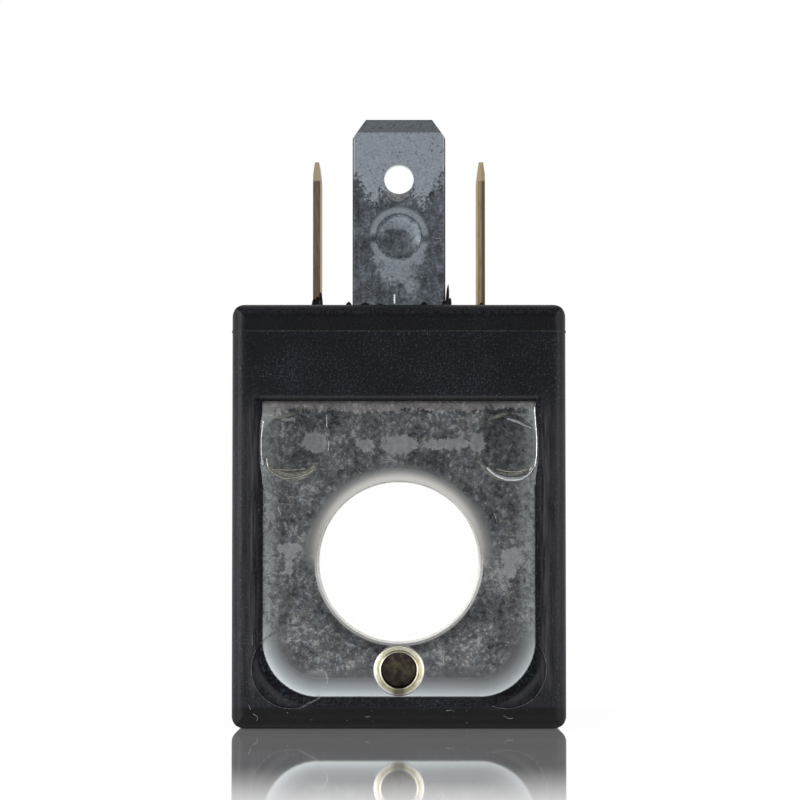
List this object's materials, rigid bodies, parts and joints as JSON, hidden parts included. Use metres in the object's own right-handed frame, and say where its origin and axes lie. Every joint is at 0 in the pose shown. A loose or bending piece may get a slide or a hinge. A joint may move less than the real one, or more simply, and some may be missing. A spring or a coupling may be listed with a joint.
{
  "type": "solenoid valve coil",
  "caption": "Overmoulded solenoid valve coil with a through bore, exposed steel yoke legs, a locating bush and blade terminals for a screw-on plug.",
  "frame": {"origin": "on the bore axis, halfway along the bore", "axes": "-Y out of the bore on the valve side, where the locating bush is; +Z towards the blades; +X to the right when seen from the valve side"},
  "size_m": [0.0222, 0.028, 0.0411],
  "materials": {
    "housing_plastic": "glass-filled nylon, moulded, finely grained",
    "yoke_steel": "zinc plated, dull and mottled",
    "bush_steel": "turned, yellow passivated",
    "bobbin_plastic": "moulded, natural colour",
    "winding_copper": "enamelled copper wire",
    "tape_film": "polyester film",
    "carrier_plastic": "moulded",
    "blade_brass": "bare strip, dull",
    "earth_steel": "zinc plated, blue passivated",
    "rivet_steel": "zinc plated",
    "insert_brass": "turned",
    "lead_copper": "enamelled copper wire",
    "sleeve_plastic": "extruded tube",
    "solder_tin": "cast tin alloy"
  },
  "bodies": {
    "root": {"housing": "housing_plastic", "yoke": "yoke_steel", "locating_bush": "bush_steel", "bobbin": "bobbin_plastic", "winding": "winding_copper", "winding_tape": "tape_film", "terminal_carrier": "carrier_plastic", "line_terminal_left": "blade_brass", "line_terminal_right": "blade_brass", "earth_terminal": "earth_steel", "earth_rivet": "rivet_steel", "connector_insert": "insert_brass", "start_lead": "lead_copper", "finish_lead": "lead_copper", "start_lead_sleeve": "sleeve_plastic", "finish_lead_sleeve": "sleeve_plastic", "start_solder_joint": "solder_tin", "finish_solder_joint": "solder_tin"}
  },
  "joints": []
}
